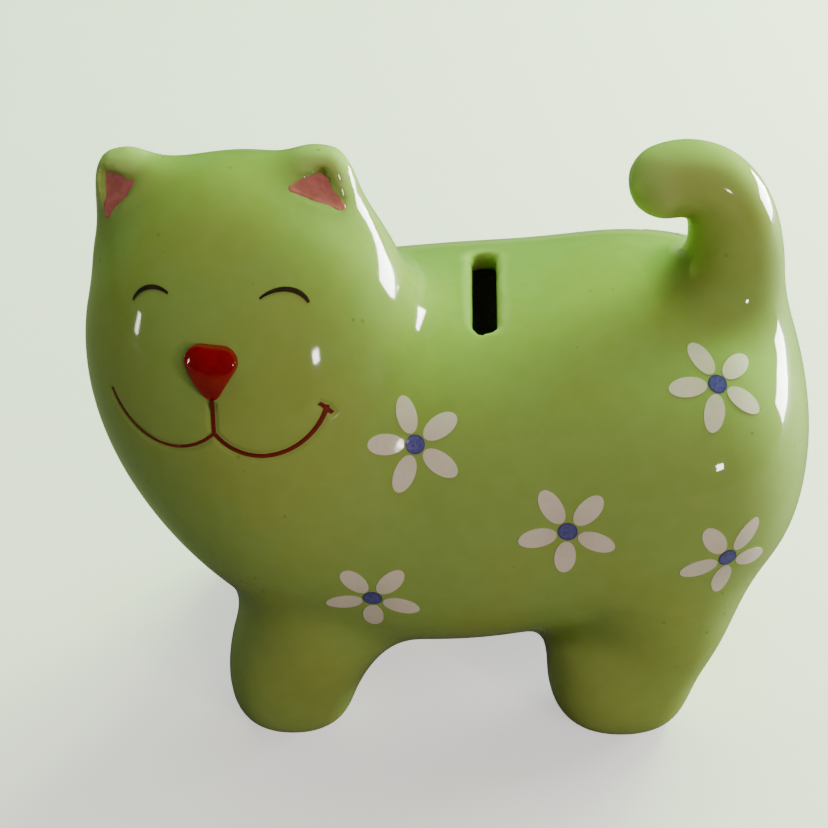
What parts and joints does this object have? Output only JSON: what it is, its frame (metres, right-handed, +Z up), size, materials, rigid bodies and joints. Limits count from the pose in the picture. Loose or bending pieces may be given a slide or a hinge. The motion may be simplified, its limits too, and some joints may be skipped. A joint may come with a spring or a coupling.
{
  "type": "coin bank",
  "caption": "Standing cat-shaped ceramic coin bank with a slot in its back, a bung under its belly and painted flowers.",
  "frame": {"origin": "centre of the footprint, on the plane the feet stand on", "axes": "+X along the body towards the tail, -Y is the side the face looks to, +Z up"},
  "size_m": [0.1446, 0.0912, 0.1288],
  "materials": {
    "green_glaze": "glossy apple-green glaze",
    "nose_red": "glossy red enamel",
    "mouth_red": "glossy dark red enamel",
    "eye_black": "black enamel line",
    "ear_pink": "glossy dusty pink",
    "petal_white": "fired white transfer",
    "centre_blue": "fired blue-violet transfer",
    "stopper_pvc": "soft translucent white PVC"
  },
  "bodies": {
    "bank": {"ceramic_shell": "green_glaze", "nose": "nose_red", "mouth_line": "mouth_red", "eye_line_left": "eye_black", "eye_line_right": "eye_black", "ear_lining_left": "ear_pink", "ear_lining_right": "ear_pink", "flower_1_petals": "petal_white", "flower_1_centre": "centre_blue", "flower_2_petals": "petal_white", "flower_2_centre": "centre_blue", "flower_3_petals": "petal_white", "flower_3_centre": "centre_blue", "flower_4_petals": "petal_white", "flower_4_centre": "centre_blue", "flower_5_petals": "petal_white", "flower_5_centre": "centre_blue", "flower_6_petals": "petal_white", "flower_6_centre": "centre_blue", "flower_7_petals": "petal_white", "flower_7_centre": "centre_blue", "flower_8_petals": "petal_white", "flower_8_centre": "centre_blue", "flower_9_petals": "petal_white", "flower_9_centre": "centre_blue", "flower_10_petals": "petal_white", "flower_10_centre": "centre_blue"},
    "stopper": {"stopper": "stopper_pvc"}
  },
  "joints": [
    {"name": "stopper_pull", "type": "slide", "parent": "bank", "child": "stopper", "axis": [0, 0, -1], "range_m": [0, 0.03]}
  ]
}
